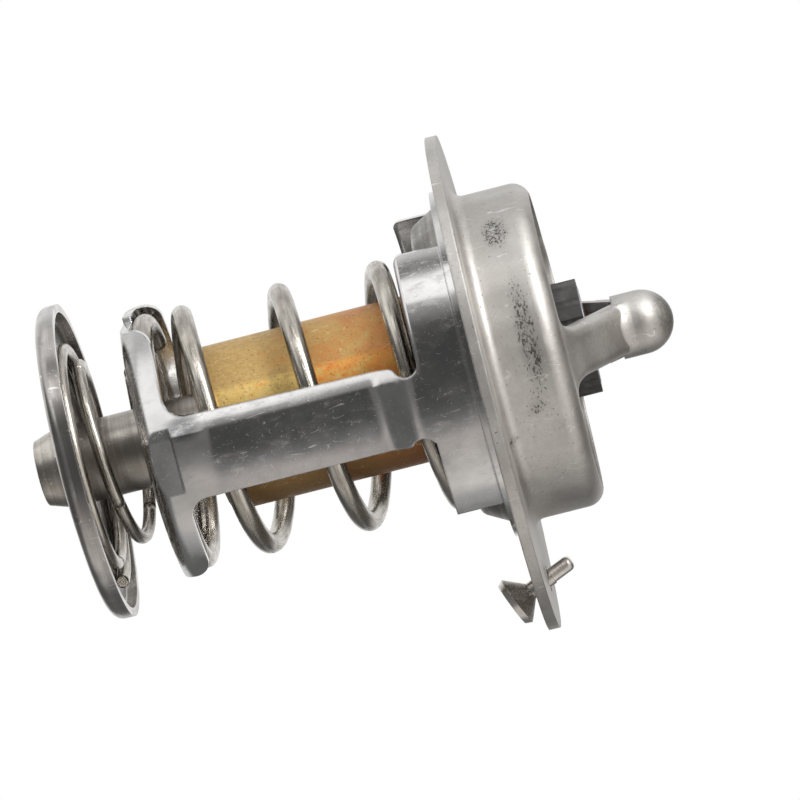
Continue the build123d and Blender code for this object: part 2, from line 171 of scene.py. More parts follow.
def places(tree, stretch=(1, 1, 1), turned=(0, 0, 0), middle=(0, 0, 0)):
    """The object's own coordinates in millimetres, moved to a middle, turned and stretched."""
    source = add(tree, "ShaderNodeTexCoord").outputs["Object"]
    local = add(
        tree,
        "ShaderNodeVectorMath",
        {0: source, 1: middle},
        operation="SUBTRACT",
    ).outputs["Vector"]
    moved = add(
        tree,
        "ShaderNodeMapping",
        {"Vector": local, "Rotation": turned, "Scale": [s / MM for s in stretch]},
    )
    return moved.outputs["Vector"]


def noise(tree, where, size, detail=3.0, roughness=0.5, distortion=0.0):
    """Soft noise whose blots are about size millimetres across."""
    made = add(
        tree,
        "ShaderNodeTexNoise",
        {
            "Vector": where,
            "Scale": 1 / size,
            "Detail": detail,
            "Roughness": roughness,
            "Distortion": distortion,
        },
    )
    return made.outputs["Fac"]


def remap(tree, value, low, high, to_low=0.0, to_high=1.0, smooth=True):
    """Stretch the part of a value between low and high over another range."""
    made = add(
        tree,
        "ShaderNodeMapRange",
        {
            "Value": value,
            "From Min": low,
            "From Max": high,
            "To Min": to_low,
            "To Max": to_high,
        },
        interpolation_type="SMOOTHSTEP" if smooth else "LINEAR",
    )
    return made.outputs["Result"]


def blend_colours(tree, share, first, second):
    """Two colours mixed by a share; each is a value or a socket."""
    made = tree.nodes.new("ShaderNodeMix")
    made.data_type = "RGBA"
    for number, value in ((0, share), (6, first), (7, second)):
        socket = made.inputs[number]
        if isinstance(value, bpy.types.NodeSocket):
            tree.links.new(value, socket)
        elif socket.type == "RGBA":
            socket.default_value = (*value, 1)
        else:
            socket.default_value = value
    return made.outputs[2]


def ramp(tree, share, stops):
    """A colour, or a grey level, that follows a share from 0 to 1 through its stops."""
    made = add(tree, "ShaderNodeValToRGB", {"Fac": share})
    elements = made.color_ramp.elements
    for position, _ in stops[1:-1]:
        elements.new(position)
    for element, (position, colour) in zip(elements, stops):
        element.position = position
        element.color = (*colour, 1) if isinstance(colour, tuple) else (colour, colour, colour, 1)
    return made.outputs["Color"]


def patch(tree, middle, reach):
    """1 near a place on the object, fading to 0 at its reach; both are x, y, z in millimetres."""
    where = places(tree, stretch=[1 / r for r in reach], middle=[m * MM for m in middle])
    away = add(tree, "ShaderNodeVectorMath", {0: where}, operation="LENGTH").outputs["Value"]
    return remap(tree, away, 1.0, PATCH_CORE)


def sums(tree, way, first, second, third=None):
    """One step of arithmetic on two or three values or sockets."""
    inputs = {0: first, 1: second}
    if third is not None:
        inputs[2] = third
    return add(tree, "ShaderNodeMath", inputs, operation=way).outputs[0]


def feel(tree, shader, height, depth, edge=0.0):
    """Give the shader a bump of the real depth in millimetres, over edges softened by edge."""
    inputs = {"Height": height, "Distance": depth * MM, "Strength": 1.0}
    if edge:
        inputs["Normal"] = add(
            tree, "ShaderNodeBevel", {"Radius": edge * MM}, samples=BEVEL_SAMPLES
        ).outputs["Normal"]
    bump = add(tree, "ShaderNodeBump", inputs)
    tree.links.new(bump.outputs["Normal"], shader.inputs["Normal"])


print("patches are full within", PATCH_CORE, "of their reach")


# %% [markdown]
# ## Scratches
#
# Bare metal parts lie in bins together and pick up short fine scratches, straight and curved.
# They could be drawn as separate strokes, but noise does it in one step: wherever a soft noise
# passes its middle value it draws a thin curved line, and a second noise keeps only short pieces
# of it. Long straight marks come from a noise that is stretched along one direction.

# %% Scratch helpers
MARK_FADE = 0.06
HAIR_CORE = 0.3
HAIR_PIECE = 0.45
HAIR_WIDTH = 0.012
HAIR_RARITY = 0.56
STRAIGHT_WIDTH = 0.010
STRAIGHT_RARITY = 0.57
STRAIGHT_SIZE = 1.4
STRAIGHT_STRETCH = (1, 1, 0.25)
STRAIGHT_TURN = (0.3, 0.5, 0.2)
NICK_SIZE = 0.3
NICK_RARITY = 0.73


def hair_lines(tree, size, width, rarity, stretch=(1, 1, 1), turned=(0, 0, 0)):
    """Thin curved lines about size millimetres apart; a higher rarity leaves shorter pieces."""
    where = places(tree, stretch=stretch, turned=turned)
    from_middle = sums(tree, "SUBTRACT", noise(tree, where, size, detail=1.0), 0.5)
    line = remap(tree, sums(tree, "ABSOLUTE", from_middle, 0.0), width, width * HAIR_CORE)
    pieces = noise(tree, where, size * HAIR_PIECE, detail=2.0)
    kept = remap(tree, pieces, rarity, rarity + MARK_FADE)
    return sums(tree, "MULTIPLY", line, kept)


def nicks(tree, size, rarity):
    """Small bright dots, a few to the square centimetre."""
    return remap(tree, noise(tree, places(tree), size, detail=2.0), rarity, rarity + MARK_FADE)


def handling(tree, size):
    """Curved hairs, straighter hairs and nicks together, 1 where the metal is marked."""
    curved = hair_lines(tree, size, HAIR_WIDTH, HAIR_RARITY)
    straight = hair_lines(
        tree,
        size * STRAIGHT_SIZE,
        STRAIGHT_WIDTH,
        STRAIGHT_RARITY,
        STRAIGHT_STRETCH,
        STRAIGHT_TURN,
    )
    hairs = sums(tree, "MAXIMUM", curved, straight)
    return sums(tree, "MAXIMUM", hairs, nicks(tree, NICK_SIZE, NICK_RARITY))


print("nicks are", NICK_SIZE, "mm across")


# %% [markdown]
# ## Bright pressed stainless: the spring cage
#
# The cage is drawn from polished strip, so it mirrors the room. What tells the eye that it is
# sheet metal and not chrome is a slow waviness left by the press, hazy smears, hairline scratches
# and tiny specks. The press also rolls the legs' upper edges a little and bends the legs into the
# foot in a long curve. Both are too slight to be worth faces in the mesh, so a bump in real
# millimetres carries them, and the reflections bend as they would on the formed sheet.

# %% The cage's rolled edges and bends, as a height in millimetres
CAGE_TURN = math.radians(8)
LEG_START = -5.5
LEG_FULL = -8.5
ROLL_START = 2.3
ROLL_EASE = 0.3
ROLL_SLOPE = 0.42
BEND_START = 28.5
BEND_EASE = 2.5
BEND_SLOPE = 0.38


def eased_slope(tree, beyond, ease, slope):
    """Height that falls away with a steady slope past a start, eased in over a short stretch."""
    past = sums(tree, "MAXIMUM", beyond, 0.0)
    share = sums(tree, "DIVIDE", past, sums(tree, "ADD", past, ease))
    return sums(tree, "MULTIPLY", sums(tree, "MULTIPLY", past, share), -slope)


def cage_forming(tree):
    """Height of the roll along the legs' upper edges and of the bend into the foot."""
    where = places(tree, turned=(0, 0, -CAGE_TURN), middle=(AXIS_X, 0, 0))
    parts = add(tree, "ShaderNodeSeparateXYZ", {"Vector": where}).outputs
    leg_only = remap(tree, parts["Z"], LEG_START, LEG_FULL)
    past_edge = sums(tree, "MULTIPLY_ADD", parts["X"], -1.0, -ROLL_START)
    roll = sums(tree, "MULTIPLY", eased_slope(tree, past_edge, ROLL_EASE, ROLL_SLOPE), leg_only)
    past_bend = sums(tree, "MULTIPLY_ADD", parts["Z"], -1.0, -BEND_START)
    return sums(tree, "ADD", roll, eased_slope(tree, past_bend, BEND_EASE, BEND_SLOPE))


print("roll falls", ROLL_SLOPE, "and bend falls", BEND_SLOPE, "mm per mm")


# %% [markdown]
# The colour of bare steel changes little over the sheet: a slow cloud moves it between two greys,
# and the marks are brighter than both. A dark patch is painted where the near leg turns into the
# foot, a painted dark reflection of the room, broken up by the hazy smear. Roughness does most of
# the work, because haze is what makes a mirror look like metal.

# %% Finish of the spring cage
POLISHED_DARK = (0.60, 0.595, 0.59)
POLISHED_LIGHT = (0.72, 0.71, 0.70)
POLISHED_MARK = (0.88, 0.87, 0.86)
# Painted dark reflection: a dark grey painted on the near leg's bend into the foot, with its place
# and reach.
PAINTED_DARK_REFLECTION = (0.16, 0.16, 0.165)
PAINTED_DARK_PLACE = (-0.9 + AXIS_X / MM, -15.0, -31.2)
PAINTED_DARK_REACH = (1.9, 6, 2.6)
SHEET_WAVE = 7.0
SHEET_WAVE_HEIGHT = 0.12
MARK_DEPTH = 0.003


def polished_sheet(name):
    material, tree, shader = start_finish(name, (0.66, 0.65, 0.63), 1.0, 0.14)
    where = places(tree)
    cloud = noise(tree, where, 4.0, detail=5.0, roughness=0.6)
    smear = noise(tree, places(tree, stretch=(1, 1, 0.4)), 0.9, detail=5.0, roughness=0.65)
    marks = sums(tree, "MULTIPLY", handling(tree, 0.9), 0.6)
    tone = blend_colours(tree, remap(tree, cloud, 0.35, 0.65), POLISHED_DARK, POLISHED_LIGHT)
    # Painted dark reflection on the leg's bend, broken up by the smear noise.
    scuffs_and_painted_dark = sums(
        tree, "MULTIPLY", patch(tree, PAINTED_DARK_PLACE, PAINTED_DARK_REACH), remap(tree, smear, 0.30, 0.55)
    )
    tone = blend_colours(tree, sums(tree, "MULTIPLY", scuffs_and_painted_dark, 0.8), tone, PAINTED_DARK_REFLECTION)
    tree.links.new(blend_colours(tree, marks, tone, POLISHED_MARK), shader.inputs["Base Color"])
    rough = remap(tree, cloud, 0.3, 0.7, 0.10, 0.17)
    rough = sums(tree, "MULTIPLY_ADD", remap(tree, smear, 0.48, 0.75), 0.18, rough)
    rough = sums(tree, "MULTIPLY_ADD", marks, 0.35, rough)
    tree.links.new(rough, shader.inputs["Roughness"])
    waves = sums(tree, "MULTIPLY", noise(tree, where, SHEET_WAVE, detail=1.0), SHEET_WAVE_HEIGHT)
    dents = sums(tree, "MULTIPLY_ADD", marks, -MARK_DEPTH, waves)
    feel(tree, shader, sums(tree, "ADD", dents, cage_forming(tree)), 1.0, edge=0.3)
    return material


cage_finish = polished_sheet("cage_stainless")
print("made", cage_finish.name)


# %% [markdown]
# ## Satin stainless: flange, dome and bridge
#
# The outlet frame is the same steel with a duller, warmer surface, and it carries dark scuffs
# where the drawing punch and the bin rubbed it. A scuff is a cluster of short dark flecks. Drawn
# by hand it would be dozens of strokes. Here two soft patches on the dome say where the clusters
# are, a few more come from a slow noise, and a fine noise is lifted there until its peaks show as
# flecks. The tip of the nose is painted darker with the same haze colour, without flecks, as a
# painted dark reflection.

# %% Where the outlet frame is scuffed
SCUFF_BAND = (-1.5 + AXIS_X / MM, -17.0, 5.8)
SCUFF_BAND_REACH = (8, 6, 1.4)
SCUFF_CORNER = (-12.5 + AXIS_X / MM, -12.0, 5.0)
SCUFF_CORNER_REACH = (2.6, 4, 1.8)
# Where the nose tip is painted darker, as a painted dark reflection.
NOSE_PAINTED_DARK = (AXIS_X / MM - 0.4, -1.8, 20.4)
NOSE_PAINTED_DARK_REACH = (3.6, 4.5, 2.6)


def scuff_places(tree):
    """1 where the steel was rubbed hard enough to leave dark flecks."""
    on_dome = sums(
        tree,
        "MAXIMUM",
        patch(tree, SCUFF_BAND, SCUFF_BAND_REACH),
        patch(tree, SCUFF_CORNER, SCUFF_CORNER_REACH),
    )
    stray = remap(tree, noise(tree, places(tree), 6.0, detail=2.0), 0.70, 0.80)
    return sums(tree, "MAXIMUM", on_dome, stray)


print("scuffs near", [round(v, 1) for v in SCUFF_BAND], "and", [round(v, 1) for v in SCUFF_CORNER])


# %% [markdown]
# Satin steel has a grain finer than the eye can count, so it is noise at half a millimetre, in the
# colour and in a very shallow relief. The colour goes down in the order in which it came about:
# sheet, grain, rubbed haze, dark flecks, and last the bright handling marks. The painted dark
# reflection on the nose tip goes in with the haze.

# %% Finish of the outlet frame
SATIN_DARK = (0.54, 0.52, 0.495)
SATIN_LIGHT = (0.66, 0.645, 0.62)
SATIN_GRAIN = (0.45, 0.43, 0.40)
SATIN_MARK = (0.88, 0.87, 0.85)
# Dark grey for the rubbed haze of the scuffs and for the painted dark reflection on the nose tip.
HAZE_AND_PAINTED_DARK = (0.26, 0.25, 0.235)
SCUFF_DARK = (0.07, 0.065, 0.06)
SATIN_RELIEF = 0.12


def satin_sheet(name):
    material, tree, shader = start_finish(name, (0.72, 0.70, 0.67), 1.0, 0.42)
    where = places(tree)
    cloud = noise(tree, where, 6.0, detail=5.0)
    grain = noise(tree, where, 0.45, detail=4.0, roughness=0.6)
    tone = blend_colours(tree, remap(tree, cloud, 0.35, 0.65), SATIN_DARK, SATIN_LIGHT)
    tone = blend_colours(tree, remap(tree, grain, 0.3, 0.7, 0.25, 0.0), tone, SATIN_GRAIN)
    scuffs_and_painted_dark = scuff_places(tree)
    # Painted dark reflection on the nose tip, mixed with the real rubbed haze of the scuffs.
    nose_painted_dark = patch(tree, NOSE_PAINTED_DARK, NOSE_PAINTED_DARK_REACH)
    nose_painted_dark = sums(tree, "MULTIPLY", nose_painted_dark, remap(tree, grain, 0.35, 0.60, 0.5, 1.0))
    haze_and_painted_dark = sums(
        tree, "MAXIMUM", sums(tree, "MULTIPLY", scuffs_and_painted_dark, 0.35), sums(tree, "MULTIPLY", nose_painted_dark, 0.8)
    )
    tone = blend_colours(tree, haze_and_painted_dark, tone, HAZE_AND_PAINTED_DARK)
    flecks = noise(tree, places(tree, (0.5, 1, 1)), 0.24, detail=4.0, roughness=0.7)
    scuffs = remap(tree, sums(tree, "MULTIPLY_ADD", scuffs_and_painted_dark, 0.15, flecks), 0.62, 0.71)
    tone = blend_colours(tree, sums(tree, "MULTIPLY", scuffs, 0.9), tone, SCUFF_DARK)
    marks = sums(tree, "MULTIPLY", handling(tree, 1.4), 0.5)
    tree.links.new(blend_colours(tree, marks, tone, SATIN_MARK), shader.inputs["Base Color"])
    rough = sums(tree, "MULTIPLY_ADD", scuffs, 0.12, remap(tree, cloud, 0.3, 0.7, 0.44, 0.54))
    tree.links.new(rough, shader.inputs["Roughness"])
    height = sums(tree, "MULTIPLY_ADD", grain, 0.06, noise(tree, where, 5.0, detail=2.0))
    height = sums(tree, "MULTIPLY_ADD", scuffs, -0.04, height)
    feel(tree, shader, height, SATIN_RELIEF, edge=0.3)
    return material


frame_finish = satin_sheet("frame_stainless")
print("made", frame_finish.name)


# %% [markdown]
# ## Turned and spun metal
#
# The stem and its clip, the bypass disc, the main valve, the piston with its guide and washer, and
# the bleed pin are turned, or pressed and spun from sheet. That leaves rings around the axis.
# They could be modelled, but they are only microns deep, so the finish draws them: noise is read at
# a place that depends on the distance from the axis and the height alone, and so it is the same
# all the way round. The bleed pin lies off the axis, where the rings pass for straight grain.

# %% Finish with rings round the valve's axis
TURNED_MARK = (0.75, 0.73, 0.70)


def ring_places(tree):
    """Distance from the valve's axis and height, in millimetres, as a place for noise."""
    where = places(tree, middle=(AXIS_X, 0, 0))
    parts = add(tree, "ShaderNodeSeparateXYZ", {"Vector": where}).outputs
    flat = add(tree, "ShaderNodeCombineXYZ", {"X": parts["X"], "Y": parts["Y"]}).outputs[0]
    reach = add(tree, "ShaderNodeVectorMath", {0: flat}, operation="LENGTH").outputs["Value"]
    return add(tree, "ShaderNodeCombineXYZ", {"X": reach, "Z": parts["Z"]}).outputs[0]


def turned_metal(name, dark, light, roughness, ring, depth):
    """Metal with turning rings about ring millimetres apart and depth millimetres deep."""
    material, tree, shader = start_finish(name, light, 1.0, roughness)
    rings = noise(tree, ring_places(tree), ring, detail=3.0, roughness=0.6)
    cloud = noise(tree, places(tree), 4.0, detail=4.0)
    share = sums(tree, "MULTIPLY_ADD", rings, 0.5, sums(tree, "MULTIPLY", cloud, 0.5))
    tone = blend_colours(tree, remap(tree, share, 0.38, 0.62), dark, light)
    marked = blend_colours(tree, handling(tree, 1.2), tone, TURNED_MARK)
    tree.links.new(marked, shader.inputs["Base Color"])
    rough = remap(tree, share, 0.3, 0.7, roughness + 0.08, roughness - 0.05)
    tree.links.new(rough, shader.inputs["Roughness"])
    height = sums(tree, "MULTIPLY_ADD", rings, 0.5, sums(tree, "MULTIPLY", cloud, 0.3))
    feel(tree, shader, height, depth, edge=0.12)
    return material


print("rings lie round x", round(AXIS_X / MM, 2), "mm")


# %% [markdown]
# The pieces differ in how dark the metal is, how finely it was turned and how dull it has become.
# Each row below gives the dark and the light tone, the roughness, the spacing of the rings and
# their depth. The piston shines most, the clip and the main valve are the darkest, and the
# piston's guide is brass.

# %% Finishes of the turned pieces
disc_finish = turned_metal("disc_steel", (0.38, 0.36, 0.34), (0.64, 0.62, 0.60), 0.20, 1.1, 0.05)
stem_finish = turned_metal("stem_steel", (0.40, 0.375, 0.335), (0.62, 0.585, 0.53), 0.32, 0.5, 0.03)
clip_finish = turned_metal("clip_steel", (0.16, 0.15, 0.145), (0.26, 0.25, 0.24), 0.38, 0.6, 0.03)
dish_finish = turned_metal("dish_steel", (0.22, 0.21, 0.20), (0.36, 0.34, 0.32), 0.36, 1.2, 0.04)
piston_finish = turned_metal("piston_steel", (0.62, 0.61, 0.59), (0.80, 0.79, 0.77), 0.10, 0.4, 0.01)
washer_finish = turned_metal("washer_steel", (0.40, 0.41, 0.45), (0.56, 0.57, 0.62), 0.32, 0.5, 0.02)
pin_finish = turned_metal("pin_steel", (0.58, 0.55, 0.52), (0.84, 0.81, 0.77), 0.30, 0.8, 0.04)
guide_finish = turned_metal("guide_brass", (0.55, 0.38, 0.15), (0.76, 0.56, 0.26), 0.28, 0.5, 0.02)
print("made", disc_finish.name, stem_finish.name, pin_finish.name, guide_finish.name)


# %% [markdown]
# ## Heat-tinted copper: the wax cup
#
# The cup is bare copper that was warmed when the wax was sealed in. Its colour drifts from
# golden yellow at the stem end to orange red under the flange, in blotches, and the surface has
# small dents and scratches. It could be painted as an image, but a ramp of colours does the same
# at any size: it follows the height up the cup, and noises of three sizes push it about.

# %% The tints of the copper
COPPER_TINTS = [
    (0.00, (0.95, 0.70, 0.26)),
    (0.34, (1.00, 0.74, 0.27)),
    (0.46, (1.00, 0.58, 0.17)),
    (0.58, (1.00, 0.46, 0.11)),
    (0.76, (0.96, 0.34, 0.09)),
    (1.00, (0.80, 0.25, 0.11)),
]
BLOT_DRIFT = 1.0
ROW_DRIFT = 0.65
FINE_DRIFT = 0.9


def copper_tint(tree, height, blots, rows, fine):
    """Colour of the warmed copper, by height, pushed up and down the cup by three noises."""
    drift = remap(tree, height, cup_low.z / MM, cup_high.z / MM, 0.0, 1.0, smooth=False)
    for pattern, push in ((blots, BLOT_DRIFT), (rows, ROW_DRIFT), (fine, FINE_DRIFT)):
        drift = sums(tree, "MULTIPLY_ADD", sums(tree, "SUBTRACT", pattern, 0.5), push, drift)
    return ramp(tree, drift, COPPER_TINTS)


print("copper runs from z", round(cup_low.z / MM, 1), "to", round(cup_high.z / MM, 1), "mm")


# %% [markdown]
# Over the tints lie painted shade and stains. The side that is turned down in view is painted
# brown as shade, the upper side is painted duller as shade, dark specks sit everywhere, and
# handling left lighter scratches. The metal share is kept below one, so that some of the
# copper's colour shows even where it reflects a dark room.

# %% Finish of the wax cup
COPPER_METAL = 0.75
MOTTLE_BROWN = (0.42, 0.24, 0.08)
# Painted shade: dark brown on the side of the cup turned down in view.
PAINTED_UNDER_SHADE = (0.20, 0.10, 0.045)
UNDER_SHADE_FROM = AXIS_X / MM + 4.2
UNDER_SHADE_FULL = AXIS_X / MM + 6.8
# Painted shade: a duller brown on the upper side of the cup.
PAINTED_UPPER_SHADE = (0.42, 0.25, 0.11)
UPPER_SHADE_FROM = AXIS_X / MM - 3.4
UPPER_SHADE_FULL = AXIS_X / MM - 4.3
SPECK_BROWN = (0.24, 0.13, 0.06)
COPPER_MARK = (0.95, 0.78, 0.46)


def tinted_copper(name):
    material, tree, shader = start_finish(name, (0.80, 0.48, 0.18), COPPER_METAL, 0.38)
    where = places(tree)
    parts = add(tree, "ShaderNodeSeparateXYZ", {"Vector": where}).outputs
    blots = noise(tree, where, 3.6, detail=4.0, roughness=0.6, distortion=0.6)
    rows = noise(tree, places(tree, stretch=(1, 1, 0.25)), 0.35, detail=4.0, roughness=0.7)
    fine = noise(tree, where, 0.5, detail=4.0, roughness=0.7)
    tone = copper_tint(tree, parts["Z"], blots, rows, fine)
    mottle = sums(tree, "MULTIPLY_ADD", fine, 0.6, sums(tree, "MULTIPLY", rows, 0.4))
    mottle = remap(tree, mottle, 0.40, 0.60)
    tone = blend_colours(tree, remap(tree, mottle, 0, 1, 0.24, 0.0), tone, MOTTLE_BROWN)
    # Painted shade: brown towards the lower side, duller towards the upper side.
    under_painted_shade = remap(tree, parts["X"], UNDER_SHADE_FROM, UNDER_SHADE_FULL, 0.0, 0.85)
    tone = blend_colours(tree, under_painted_shade, tone, PAINTED_UNDER_SHADE)
    upper_painted_shade = remap(tree, parts["X"], UPPER_SHADE_FROM, UPPER_SHADE_FULL, 0.0, 0.60)
    tone = blend_colours(tree, upper_painted_shade, tone, PAINTED_UPPER_SHADE)
    specks = remap(tree, noise(tree, where, 0.28, detail=3.0), 0.60, 0.68, 0.0, 0.55)
    tone = blend_colours(tree, specks, tone, SPECK_BROWN)
    marks = handling(tree, 1.3)
    tone = blend_colours(tree, sums(tree, "MULTIPLY", marks, 0.5), tone, COPPER_MARK)
    tree.links.new(tone, shader.inputs["Base Color"])
    tree.links.new(remap(tree, mottle, 0, 1, 0.55, 0.42), shader.inputs["Roughness"])
    bumps = sums(tree, "MULTIPLY_ADD", marks, -0.1, sums(tree, "MULTIPLY_ADD", fine, 0.35, blots))
    feel(tree, shader, bumps, 0.08, edge=0.1)
    return material


cup_finish = tinted_copper("cup_copper")
print("made", cup_finish.name)


# %% [markdown]
# ## Rubber and wax inside
#
# These are hardly seen, but a part is looked at from every side, and the valve opens. Rubber is a
# dark dielectric with a dusty bloom, which is a rougher and lighter film in patches. Wax is pale,
# soft and slightly translucent.

# %% Finishes of rubber and wax
RUBBER_GRAIN = 0.02
WAX_DARK = (0.80, 0.71, 0.48)
WAX_LIGHT = (0.90, 0.84, 0.66)


def dull_rubber(name, colour, bloom):
    material, tree, shader = start_finish(name, colour, 0.0, 0.55, Specular_IOR_Level=0.35)
    where = places(tree)
    dust = remap(tree, noise(tree, where, 1.6, detail=5.0), 0.45, 0.70)
    tree.links.new(blend_colours(tree, dust, colour, bloom), shader.inputs["Base Color"])
    tree.links.new(remap(tree, dust, 0, 1, 0.48, 0.70), shader.inputs["Roughness"])
    feel(tree, shader, noise(tree, where, 0.12, detail=3.0), RUBBER_GRAIN, edge=0.15)
    return material


def pale_wax(name):
    material, tree, shader = start_finish(
        name, (0.85, 0.78, 0.58), 0.0, 0.45, Subsurface_Weight=0.3, Subsurface_Scale=2 * MM
    )
    grain = noise(tree, places(tree), 0.8, detail=4.0)
    tree.links.new(blend_colours(tree, grain, WAX_DARK, WAX_LIGHT), shader.inputs["Base Color"])
    feel(tree, shader, grain, 0.03)
    return material


boot_finish = dull_rubber("boot_rubber", (0.066, 0.064, 0.063), (0.135, 0.131, 0.128))
seal_finish = dull_rubber("seal_rubber", (0.018, 0.018, 0.018), (0.04, 0.04, 0.04))
sleeve_finish = dull_rubber("sleeve_rubber", (0.03, 0.03, 0.03), (0.06, 0.06, 0.06))
wax_finish = pale_wax("charge_wax")
print("made", boot_finish.name, seal_finish.name, wax_finish.name)


# %% [markdown]
# ## Putting the finishes on
#
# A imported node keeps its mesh. Its faces come in with one placeholder material, which is
# swapped here. Each curved face was meshed on its own, so smooth shading rounds it and still
# leaves the pressed edges crisp.

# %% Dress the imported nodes
finishes = {
    "outlet_frame": frame_finish,
    "spring_cage": cage_finish,
    "valve_dish": dish_finish,
    "valve_seal": seal_finish,
    "wax_cup": cup_finish,
    "wax_charge": wax_finish,
    "rubber_sleeve": sleeve_finish,
    "piston_guide": guide_finish,
    "guide_boot": boot_finish,
    "boot_washer": washer_finish,
    "piston": piston_finish,
    "bypass_stem": stem_finish,
    "stem_clip": clip_finish,
    "bypass_disc": disc_finish,
    "jiggle_pin": pin_finish,
}
for name, finish in finishes.items():
    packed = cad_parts[name]
    packed.data.materials.clear()
    packed.data.materials.append(finish)
    packed.data.shade_smooth()
print("dressed", len(finishes), "nodes")


# %% [markdown]
# ## Winding a spring
#
# A coil spring is one round wire. It could be a curve with a bevel, but the springs have to
# change length when the valve moves, and only a mesh can be blended between two bodies. So a
# ring of points is carried along the coil, square to the wire, and neighbouring rings are joined
# by faces. Where the wire is cropped, one smaller ring at the very end rounds its edge.

# %% Rings of points along a wire
RING_POINTS = 24
TURN_STEPS = 90
END_ROUNDING = 0.12
NUDGE = 0.001


def wire_length(centre_line, first_turn, last_turn):
    """Length of the wire between two turns, added up in short straight steps."""
    turns = last_turn - first_turn
    steps = max(1, round(turns * TURN_STEPS))
    points = [centre_line(first_turn + turns * i / steps) for i in range(steps + 1)]
    return sum((there - here).length for here, there in zip(points, points[1:]))


def wire_rings(centre_line, wire, first_turn, last_turn, ends):
    """Middle, direction and radius of each ring; ends says which of the two are cropped."""
    turns = last_turn - first_turn
    steps = round(turns * TURN_STEPS)
    rings = []
    for i in range(steps + 1):
        turn = first_turn + turns * i / steps
        tangent = (centre_line(turn + NUDGE) - centre_line(turn - NUDGE)).normalized()
        rings.append((centre_line(turn), tangent, wire / 2))
    crop = wire * END_ROUNDING
    if ends[0]:
        middle, tangent, reach = rings[0]
        rings[:1] = [(middle, tangent, reach - crop), (middle + tangent * crop, tangent, reach)]
    if ends[1]:
        middle, tangent, reach = rings[-1]
        rings[-1:] = [(middle - tangent * crop, tangent, reach), (middle, tangent, reach - crop)]
    return rings


def ring_points(middle, tangent, reach):
    """Points of one ring, square to the wire, from the side that looks away from the axis."""
    outward = Vector((middle.x - AXIS_X, middle.y, 0)).normalized()
    side = tangent.cross(outward).normalized()
    outward = side.cross(tangent)
    angles = [2 * math.pi * k / RING_POINTS for k in range(RING_POINTS)]
    return [middle + (outward * math.cos(a) + side * math.sin(a)) * reach for a in angles]


def tube_faces(ring_count):
    """Faces between neighbouring rings, and last a flat face over each end."""
    faces = []
    for here in range(0, (ring_count - 1) * RING_POINTS, RING_POINTS):
        there = here + RING_POINTS
        for k in range(RING_POINTS):
            beside = (k + 1) % RING_POINTS
            faces.append((here + k, here + beside, there + beside, there + k))
    last = (ring_count - 1) * RING_POINTS
    return faces + [tuple(reversed(range(RING_POINTS))), tuple(range(last, last + RING_POINTS))]


print("rings of", RING_POINTS, "points,", TURN_STEPS, "to a turn")


# %% [markdown]
# The wire's finish has to follow the wire, so the mesh also carries a map of it: how far along the
# wire a point lies and how far round it, both in millimetres. The two end faces stay flat shaded,
# because a cropped end is a flat cut.

# %% A mesh from the rings
def lay_out_wire(mesh, lengths, wire):
    """UVs in millimetres: along the wire and round it, for a finish that follows the wire."""
    layer = mesh.uv_layers.new(name="along_wire")
    girth = math.pi * wire
    for polygon in mesh.polygons:
        for loop in polygon.loop_indices:
            ring, k = divmod(mesh.loops[loop].vertex_index, RING_POINTS)
            layer.data[loop].uv = (lengths[ring] / MM, girth / MM * k / RING_POINTS)


def wind(name, centre_line, wire, finish, first_turn, last_turn, ends=(True, True)):
    """Mesh of a round wire along centre_line(turn), from one turn to another."""
    rings = wire_rings(centre_line, wire, first_turn, last_turn, ends)
    lengths = [wire_length(centre_line, 0, first_turn)]
    for here, there in zip(rings, rings[1:]):
        lengths.append(lengths[-1] + (there[0] - here[0]).length)
    points = [tuple(point) for ring in rings for point in ring_points(*ring)]
    mesh = bpy.data.meshes.new(name)
    mesh.from_pydata(points, [], tube_faces(len(rings)))
    lay_out_wire(mesh, lengths, wire)
    mesh.materials.append(finish)
    mesh.shade_smooth()
    for cap in (len(mesh.polygons) - 2, len(mesh.polygons) - 1):
        mesh.polygons[cap].use_smooth = False
    piece = bpy.data.objects.new(name, mesh)
    bpy.context.scene.collection.objects.link(piece)
    return piece


print("a cropped end is rounded by", END_ROUNDING, "of the wire")


# %% [markdown]
# ## Drawn wire
#
# Spring wire is pulled through a die, which leaves streaks along it, and heat leaves it a warm
# brownish grey. A noise that is stretched along the wire gives the streaks. It has to close round
# the wire, so the way round is turned into a circle before the noise reads it.

# %% Finish of the springs
STREAK_STRETCH = 0.03
BLOT_STRETCH = 0.4
WORN_WIRE = (0.80, 0.78, 0.74)
MAIN_WIRE = 2.2 * MM
BYPASS_WIRE = 1.4 * MM


def wire_places(tree, wire, stretch):
    """A place for noise that closes round the wire; a low stretch draws it out along the wire."""
    along = add(tree, "ShaderNodeUVMap", uv_map="along_wire").outputs["UV"]
    parts = add(tree, "ShaderNodeSeparateXYZ", {"Vector": along}).outputs
    angle = sums(tree, "DIVIDE", parts["Y"], wire / 2 / MM)
    inputs = {
        "X": sums(tree, "MULTIPLY", parts["X"], stretch),
        "Y": sums(tree, "COSINE", angle, 0.0),
        "Z": sums(tree, "SINE", angle, 0.0),
    }
    return add(tree, "ShaderNodeCombineXYZ", inputs).outputs[0]


